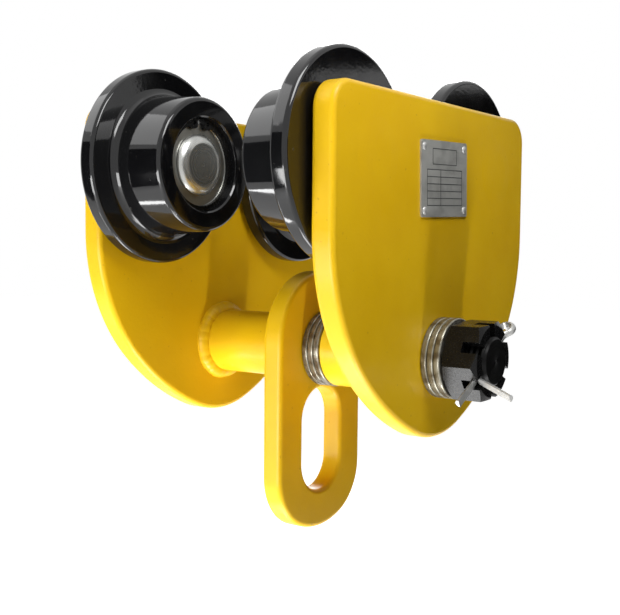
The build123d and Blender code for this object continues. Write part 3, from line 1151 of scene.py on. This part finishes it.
@dataclass(frozen=True)
class FlangedWheel:
    """A cast wheel with its axle, bearing and retaining ring, on one side plate."""

    station: Station
    flange_t: float = 0.009
    tread_r: float = 0.036
    tread_end_r: float = 0.0335
    rim_round: float = 0.002
    root_round: float = 0.0045
    end_round: float = 0.0025
    mouth_edge: float = 0.0008
    mouth_round: float = 0.0008 / 3
    seat_r: float = 0.02352
    groove_r: float = 0.02475
    groove_from: float = 0.00355
    groove_to: float = 0.0054
    seat_depth: float = 0.0194
    back_r: float = 0.015
    back_round: float = 0.0006
    turning_slack: float = 0.00002
    rivet_r: float = 0.011
    fillet_run: float = 0.006
    fillet_sink: float = 0.0002

    @property
    def plate(self) -> str:
        """Node of the side plate that carries the wheel."""
        return f"{self.station.value.split('_')[0]}_side_plate"

    def section(self, front: float, back: float, flange_r: float) -> list[Corner]:
        """Section of the wheel, from the bearing's mouth over the tread and round the flange.

        Args:
            front: X of its inner end.
            back: X of the flange's back.
            flange_r: Radius of the flange.

        Returns:
            The corners.
        """
        inwards = math.copysign(1.0, back - front)

        def at(depth: float) -> float:
            """X at a depth from the inner end."""
            return front + inwards * depth

        flange_front = back - inwards * self.flange_t
        return [
            Corner(front, self.seat_r + self.mouth_edge, self.mouth_round),
            Corner(front, self.tread_end_r, self.end_round),
            Corner(flange_front, self.tread_r, self.root_round),
            Corner(flange_front, flange_r, self.rim_round),
            Corner(back, flange_r, self.rim_round),
            Corner(back, self.back_r, self.back_round),
            Corner(at(self.seat_depth), self.back_r),
            Corner(at(self.seat_depth), self.seat_r),
            Corner(at(self.groove_to), self.seat_r),
            Corner(at(self.groove_to), self.groove_r),
            Corner(at(self.groove_from), self.groove_r),
            Corner(at(self.groove_from), self.seat_r),
            Corner(at(self.mouth_edge), self.seat_r, self.mouth_round),
        ]

    def paint_fillet(self, face: float, end: float) -> list[Corner]:
        """Section of the paint that runs from the axle's riveted end down to the plate.

        Args:
            face: X of the plate's outer face.
            end: X of the riveted end, a little proud of it.

        Returns:
            The corners.
        """
        below = face - math.copysign(self.fillet_sink, face)
        inner = self.rivet_r - abs(end - face)
        outer = self.rivet_r + self.fillet_run
        return [Corner(below, inner), Corner(end, inner), Corner(face, outer), Corner(below, outer)]

    def build(self, shop: Paintshop, lathe: TurningLathe) -> None:
        """Turn the wheel and dress the pieces in it.

        Args:
            shop: Where finishes come from.
            lathe: The tree that turns pieces.
        """
        name = self.station.value
        node, axle = f"{name}_wheel", f"{name}_axle"
        line = AxleLine.through(node)
        low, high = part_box(node)
        front, back = sorted((low.x, high.x), key=abs)
        corners = self.section(front, back, (high.z - low.z) / 2 - self.turning_slack)
        wheel = lathe.turn(f"{node}_turned", shop.material(BLACK), corners, line)
        shop.seat(wheel, BLACK, node, node)
        boxes = (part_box(self.plate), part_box(axle))
        face, end = (max((corner.x for corner in box), key=abs) for box in boxes)
        paint = self.paint_fillet(face, end)
        fillet = lathe.turn(f"{axle}_paint", shop.material(YELLOW), paint, line)
        shop.seat(fillet, YELLOW, "frame")
        axle_finish = PartPainted(
            name="axle_finish",
            slot="bright_steel",
            paint=YELLOW,
            metal=TURNED_STEEL,
            zone=BareZone.INSIDE_LIMIT,
            limit=min(abs(corner.x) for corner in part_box("right_side_plate")),
        )
        shop.dress(axle_finish, axle)
        for finish, pieces in (
            (BEARING_STEEL, ("bearing_inner_ring", "bearing_outer_ring", "bearing_balls")),
            (CAGE_BRASS, ("bearing_cage",)),
            (SHIELD_STEEL, ("bearing_shields",)),
            (BLACK_OXIDE, ("retaining_ring",)),
        ):
            shop.dress(finish, *(f"{name}_{piece}" for piece in pieces))


@dataclass(frozen=True)
class SidePlates:
    """The two side plates."""

    nodes: tuple[str, ...] = ("left_side_plate", "right_side_plate")

    def build(self, shop: Paintshop) -> None:
        """Dress the plates."""
        shop.dress(YELLOW, *self.nodes)


@dataclass(frozen=True)
class LoadShaft:
    """The load shaft, welded to the left plate, with its spacer sleeve."""

    thread_pitch: float = 0.003
    thread_depth: float = 0.0012
    thick_r: float = 0.0175
    bead_r: float = 0.0045
    ripples: int = 27
    ripple_depth: float = 0.035
    unevenness: float = 0.3
    seed: float = 4.0
    bead_sharp_degrees: float = 70.0

    def build(self, shop: Paintshop) -> None:
        """Dress the shaft and the sleeve, and lay the weld bead.

        Args:
            shop: Where finishes come from.
        """
        shop.dress(YELLOW, "spacer_sleeve")
        finish = PartPainted(
            name="load_shaft_finish",
            slot="yellow_paint",
            paint=YELLOW,
            metal=BARE_SHAFT,
            zone=BareZone.PAST_LIMIT,
            limit=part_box("left_inner_washers")[0].x,
            thread_from=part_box("outer_washers")[0].x,
            thread_pitch=self.thread_pitch,
            thread_depth=self.thread_depth,
        )
        shop.dress(finish, "load_shaft")
        plate_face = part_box("left_side_plate")[1].x
        values = {
            "Ring Radius": self.thick_r,
            "Tube Radius": self.bead_r,
            "Ripples": self.ripples,
            "Ripple Depth": self.ripple_depth,
            "Unevenness": self.unevenness,
            "Seed": self.seed,
            "Place": (plate_face, SHAFT_LINE.y, SHAFT_LINE.z),
        }
        bead = WeldingTorch().make("shaft_weld_bead", shop.material(YELLOW), values)
        finish_mesh(bead, self.bead_sharp_degrees)
        shop.seat(bead, YELLOW, "frame")


@dataclass(frozen=True)
class Hanger:
    """The flat link that carries the hoist."""

    node: str = "hanger"

    def build(self, shop: Paintshop) -> None:
        """Dress the hanger."""
        shop.dress(YELLOW, self.node)


@dataclass(frozen=True)
class WasherStack:
    """A row of equal zinc-plated washers on the load shaft."""

    node: str
    count: int = 3
    thickness: float = 0.0035
    bore_r: float = 0.01258
    edge_round: float = 0.0009
    bore_round: float = 0.0003
    segments: int = 120

    def build(self, shop: Paintshop, lathe: TurningLathe) -> None:
        """Turn the washers.

        Args:
            shop: Where finishes come from.
            lathe: The tree that turns pieces.
        """
        low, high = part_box(self.node)
        first, last = low.x, low.x + self.thickness
        radius = (high.z - low.z) / 2
        pitch = (high.x - low.x - self.thickness) / (self.count - 1)
        corners = [
            Corner(first, self.bore_r, self.bore_round),
            Corner(first, radius, self.edge_round),
            Corner(last, radius, self.edge_round),
            Corner(last, self.bore_r, self.bore_round),
        ]
        washers = lathe.turn(
            f"{self.node}_turned",
            shop.material(ZINC),
            corners,
            SHAFT_LINE,
            copies=self.count,
            pitch=pitch,
            segments=self.segments,
        )
        shop.seat(washers, ZINC, "frame", self.node)


@dataclass(frozen=True)
class SlottedNut:
    """The slotted nut at the end of the load shaft, and the split pin through it."""

    node: str = "slotted_nut"
    edge: float = 0.00035
    edge_steps: int = 3
    edge_degrees: float = 25.0
    flat_degrees: float = 1.0

    def merged(self) -> bpy.types.Mesh:
        """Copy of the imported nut's mesh, with its triangles joined to whole faces.

        Returns:
            The mesh.
        """
        shape = bmesh.new()
        shape.from_mesh(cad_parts[self.node].data)
        bmesh.ops.remove_doubles(shape, verts=shape.verts, dist=MERGE_DISTANCE)
        flat = math.radians(self.flat_degrees)
        bmesh.ops.dissolve_limit(shape, angle_limit=flat, verts=shape.verts, edges=shape.edges)
        mesh = bpy.data.meshes.new("slotted_nut_broken_edges")
        shape.to_mesh(mesh)
        shape.free()
        if "custom_normal" in mesh.attributes:
            mesh.attributes.remove(mesh.attributes["custom_normal"])
        mesh.shade_smooth()
        return mesh

    def build(self, shop: Paintshop) -> None:
        """Break the nut's edges and dress the nut and the pin.

        Args:
            shop: Where finishes come from.
        """
        mesh = self.merged()
        mesh.materials.clear()
        mesh.materials.append(shop.material(BLACK_OXIDE))
        nut = bpy.data.objects.new(mesh.name, mesh)
        bpy.context.scene.collection.objects.link(nut)
        bevel = nut.modifiers.new("broken_edges", "BEVEL")
        bevel.width = self.edge
        bevel.segments = self.edge_steps
        bevel.limit_method = "ANGLE"
        bevel.angle_limit = math.radians(self.edge_degrees)
        nut.modifiers.new("even_shading", "WEIGHTED_NORMAL")
        shop.seat(nut, BLACK_OXIDE, "frame", self.node)
        shop.dress(DRAWN_STEEL, "split_pin")


@dataclass(frozen=True)
class DataPlate:
    """The bare data plate with an empty ruled form and four domed rivets."""

    node: str = "data_plate"
    width: float = 0.0465
    height: float = 0.037
    turn: float = math.radians(2.0)
    margin: float = 0.0056
    head_band: float = 0.0085
    rows: int = 5
    column: float = 0.38
    line: float = 0.0004
    proud: float = 0.0001
    box_width: float = 0.024
    box_height: float = 0.0075
    box_top: float = 0.004
    rivet_inset: float = 0.0032
    rivet_r: float = 0.0019
    rivet_h: float = 0.0008

    def raised(self, rise: float) -> Point:
        """Place on the plate's face, on its middle line.

        Args:
            rise: Distance up the line from the middle.

        Returns:
            The place, in metres.
        """
        middle = middle_of(self.node)
        across, up = rise * math.sin(self.turn), rise * math.cos(self.turn)
        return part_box(self.node)[1].x, middle.y - across, middle.z + up

    def rule(self, shop: Paintshop) -> None:
        """Rule the form and the box at its head.

        Args:
            shop: Where finishes come from.
        """
        ruler = FormRuler()
        form_width = self.width - 2 * self.margin
        form_height = self.height - 2 * self.margin - self.head_band
        box_rise = (self.height - self.box_height) / 2 - self.box_top
        fields = (
            ("form", -self.head_band / 2, form_width, form_height, self.rows, self.column),
            ("head_box", box_rise, self.box_width, self.box_height, 1, 0.0),
        )
        for name, rise, width, height, rows, column in fields:
            values = {
                "Width": width,
                "Height": height,
                "Rows": rows,
                "Column": column,
                "Line": self.line,
                "Proud": self.proud,
                "Place": self.raised(rise),
                "Turn": (self.turn, 0.0, 0.0),
            }
            ruled = ruler.make(f"{self.node}_{name}", shop.material(TAG_INK), values)
            shop.seat(ruled, TAG_INK, "frame")

    def rivet(self, shop: Paintshop) -> None:
        """Set the rivets.

        Args:
            shop: Where finishes come from.
        """
        values = {
            "Across": self.width - 2 * self.rivet_inset,
            "Up": self.height - 2 * self.rivet_inset,
            "Head Radius": self.rivet_r,
            "Head Height": self.rivet_h,
            "Place": self.raised(0.0),
            "Turn": (self.turn, 0.0, 0.0),
        }
        heads = RivetGun().make(f"{self.node}_rivet_heads", shop.material(DRAWN_STEEL), values)
        finish_mesh(heads)
        shop.seat(heads, DRAWN_STEEL, "frame", f"{self.node}_rivets")

    def build(self, shop: Paintshop) -> None:
        """Dress the plate, rule the form and set the rivets.

        Args:
            shop: Where finishes come from.
        """
        shop.dress(TAG_METAL, self.node)
        self.rule(shop)
        self.rivet(shop)


@dataclass(frozen=True)
class PhotoView:
    """The camera that the photograph was taken with, fitted to the wheel and plate outlines."""

    place: Point = (0.31525, -0.43839, -0.00446)
    azimuth: float = math.radians(35.97)
    pitch: float = math.radians(3.52)
    roll: float = math.radians(0.55)
    lens_mm: float = 58.02
    sensor_mm: float = 36.0
    clip_start: float = 0.01

    def build(self) -> None:
        """Add the camera and make it the scene's own."""
        lens = bpy.data.cameras.new("photo_view")
        lens.sensor_fit = "HORIZONTAL"
        lens.sensor_width = self.sensor_mm
        lens.lens = self.lens_mm
        lens.clip_start = self.clip_start
        camera = bpy.data.objects.new("photo_view", lens)
        turn = Matrix.Rotation(self.azimuth, 4, "Z")
        tilt = Matrix.Rotation(math.pi / 2 - self.pitch, 4, "X")
        lean = Matrix.Rotation(self.roll, 4, "Z")
        camera.matrix_world = Matrix.Translation(self.place) @ turn @ tilt @ lean
        bpy.context.scene.collection.objects.link(camera)
        bpy.context.scene.camera = camera


def bare_material(name: str) -> tuple[bpy.types.Material, Graph]:
    """Material of the studio with no shader yet.

    Args:
        name: Name of the material.

    Returns:
        The material and its graph.
    """
    material = bpy.data.materials.new(name)
    material.use_nodes = True
    graph = Graph(material.node_tree)
    graph.tree.nodes.remove(graph.tree.nodes["Principled BSDF"])
    return material, graph


def stand_sheet(
    name: str, material: bpy.types.Material, spot: Matrix, width: float, height: float
) -> bpy.types.Object:
    """Add a flat sheet to the studio.

    Args:
        name: Name of the sheet.
        material: Its material.
        spot: Its place and turn.
        width: Its size along its own X.
        height: Its size along its own Y.

    Returns:
        The sheet.
    """
    across, up = width / 2, height / 2
    corners = ((-across, -up), (across, -up), (across, up), (-across, up))
    mesh = bpy.data.meshes.new(name)
    mesh.from_pydata([spot @ Vector((x, y, 0)) for x, y in corners], [], [(0, 1, 2, 3)])
    mesh.materials.append(material)
    sheet = bpy.data.objects.new(name, mesh)
    bpy.context.scene.collection.objects.link(sheet)
    sheet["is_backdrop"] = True
    return sheet


@dataclass(frozen=True)
class Softbox:
    """A soft rectangular lamp aimed at the object."""

    name: str
    place: Point
    width: float
    height: float
    watts: float

    def build(self, target: Vector) -> None:
        """Add the lamp.

        Args:
            target: Point that it faces.
        """
        lamp = bpy.data.lights.new(self.name, "AREA")
        lamp.shape = "RECTANGLE"
        lamp.size = self.width
        lamp.size_y = self.height
        lamp.energy = self.watts
        box = bpy.data.objects.new(self.name, lamp)
        box.location = self.place
        box.rotation_euler = (target - Vector(self.place)).to_track_quat("-Z", "Y").to_euler()
        box.visible_camera = False
        bpy.context.scene.collection.objects.link(box)


@dataclass(frozen=True)
class Flag:
    """A dark card that keeps part of the white surround out of the gloss, and casts no shadow."""

    name: str
    place: Point
    width: float
    height: float
    shade: float = 0.02

    def build(self, target: Vector) -> None:
        """Add the card.

        Args:
            target: Point that it faces.
        """
        material, graph = bare_material(self.name)
        dark = graph.node("ShaderNodeBsdfDiffuse")
        graph.feed(dark, Color=(self.shade, self.shade, self.shade, 1))
        end = graph.tree.nodes["Material Output"]
        graph.feed(end, Surface=dark.outputs[0])
        facing = (target - Vector(self.place)).to_track_quat("Z", "Y").to_matrix().to_4x4()
        spot = Matrix.Translation(self.place) @ facing
        card = stand_sheet(self.name, material, spot, self.width, self.height)
        card.visible_camera = False
        card.visible_diffuse = False
        card.visible_shadow = False


@dataclass(frozen=True)
class Studio:
    """White studio: floor, soft lamps, dark cards and even light from all sides."""

    floor_drop: float = 0.26
    floor_size: float = 12.0
    floor_white: float = 0.85
    floor_glow: float = 0.86
    glow_from: float = 0.3
    glow_to: float = 0.55
    surround: float = 0.018
    # right_low shines through the floor, which casts no shadow, and behind is for the far sides
    lamps: tuple[Softbox, ...] = (
        Softbox("front_low", (0.0, -0.9, -0.28), 0.5, 0.3, 5.5),
        Softbox("left_front", (-0.36, -0.8, -0.24), 0.24, 0.2, 2.2),
        Softbox("left_low", (-0.318, -0.26, -0.34), 0.03, 0.19, 0.3),
        Softbox("left_high", (-0.635, -0.42, 0.64), 0.75, 0.5, 2.4),
        Softbox("right_high", (0.22, -0.12, 0.24), 0.14, 0.14, 0.74),
        Softbox("right_low", (0.73, -0.25, -2.0), 0.14, 0.4, 23.3),
        Softbox("under", (-0.05, -0.08, -0.4), 0.2, 0.2, 1.15),
        Softbox("above", (0.1, -0.2, 1.4), 1.0, 1.0, 1.0),
        Softbox("behind", (-0.62, 1.1, 0.3), 0.6, 0.6, 6.0),
    )
    # The left card makes the dark band on the treads. Between the cards on the right are two
    # openings, which the tops of the wheel flanges and the near plate's top corner mirror.
    flags: tuple[Flag, ...] = (
        Flag("dark_card_right", (0.52, 0.68, -0.14), 0.9, 0.54),
        Flag("far_card_back", (1.145, 2.223, 0.13), 1.746, 0.66),
        Flag("far_card_right", (2.079, 1.389, 0.085), 0.859, 0.57),
        Flag("far_card_tall", (1.695, 1.838, 0.58), 0.35, 0.46),
        Flag("far_card_high", (0.997, 2.293, 0.69), 1.387, 0.31),
        Flag("dark_card_left", (-0.53, -0.75, -0.05), 0.56, 0.76),
    )

    def seen(self, graph: Graph) -> Socket:
        """Share that is 1 for what the camera, a gloss or glass sees directly.

        Args:
            graph: Graph of the floor or the world.

        Returns:
            The share's socket.
        """
        path = graph.node("ShaderNodeLightPath")
        share = path.outputs["Is Camera Ray"]
        for name in ("Is Glossy Ray", "Is Transmission Ray"):
            widest = graph.node("ShaderNodeMath", operation="MAXIMUM")
            graph.tree.links.new(share, widest.inputs[0])
            graph.tree.links.new(path.outputs[name], widest.inputs[1])
            share = widest.outputs[0]
        return share

    def build_world(self) -> None:
        """Light the scene evenly, with a white background where it is seen directly."""
        world = bpy.data.worlds.new("white_surround")
        world.use_nodes = True
        bpy.context.scene.world = world
        graph = Graph(world.node_tree)
        background = world.node_tree.nodes["Background"]
        strength = graph.node("ShaderNodeMapRange")
        graph.feed(strength, Value=self.seen(graph), To_Min=self.surround, To_Max=1.0)
        graph.feed(background, Color=(1, 1, 1, 1), Strength=strength.outputs[0])

    def floor_material(self) -> bpy.types.Material:
        """Matt white that shows shadows, and glows where it is seen, less so below the object.

        Returns:
            The material.
        """
        material, graph = bare_material("pale_floor")
        matt = graph.node("ShaderNodeBsdfDiffuse")
        graph.feed(matt, Color=(self.floor_white, self.floor_white, self.floor_white, 1))
        level_place = graph.node("ShaderNodeVectorMath", operation="MULTIPLY")
        graph.set(level_place.inputs[0], graph.node("ShaderNodeTexCoord").outputs["Object"])
        graph.set(level_place.inputs[1], (1, 1, 0))
        far = graph.node("ShaderNodeVectorMath", operation="LENGTH")
        graph.set(far.inputs[0], level_place.outputs["Vector"])
        ramp = graph.node("ShaderNodeMapRange", interpolation_type="SMOOTHSTEP")
        graph.feed(ramp, From_Min=self.glow_from, From_Max=self.glow_to)
        graph.feed(ramp, Value=far.outputs["Value"], To_Min=self.floor_glow)
        level = graph.node("ShaderNodeMath", operation="MULTIPLY")
        graph.set(level.inputs[0], self.seen(graph))
        graph.set(level.inputs[1], ramp.outputs[0])
        glow = graph.node("ShaderNodeEmission")
        graph.feed(glow, Color=(1, 1, 1, 1), Strength=level.outputs[0])
        both = graph.node("ShaderNodeAddShader")
        for socket, shader in zip(both.inputs, (matt, glow)):
            graph.set(socket, shader.outputs[0])
        graph.feed(graph.tree.nodes["Material Output"], Surface=both.outputs[0])
        return material

    def build_floor(self) -> None:
        """Add a pale floor below the object, which keeps its soft shadow and casts none."""
        spot = Matrix.Translation((0, 0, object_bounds()[0][2] - self.floor_drop))
        material = self.floor_material()
        floor = stand_sheet("floor", material, spot, self.floor_size, self.floor_size)
        floor.visible_shadow = False

    def build(self) -> None:
        """Add the world, the floor, the lamps and the cards."""
        self.build_world()
        self.build_floor()
        low, high = (Vector(corner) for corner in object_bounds())
        for fitting in (*self.lamps, *self.flags):
            fitting.build((low + high) / 2)
        bpy.context.scene.view_settings.view_transform = "Standard"


def main() -> None:
    """Build and dress the sub-assemblies, then set up the camera and the studio."""
    logging.basicConfig(level=logging.INFO, format="%(message)s")
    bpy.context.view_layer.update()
    shop = Paintshop()
    lathe = TurningLathe()
    SidePlates().build(shop)
    LoadShaft().build(shop)
    Hanger().build(shop)
    for node in ("left_inner_washers", "right_inner_washers", "outer_washers"):
        WasherStack(node).build(shop, lathe)
    SlottedNut().build(shop)
    DataPlate().build(shop)
    for station in Station:
        FlangedWheel(station).build(shop, lathe)
    PhotoView().build()
    Studio().build()


if __name__ == "__main__":
    main()
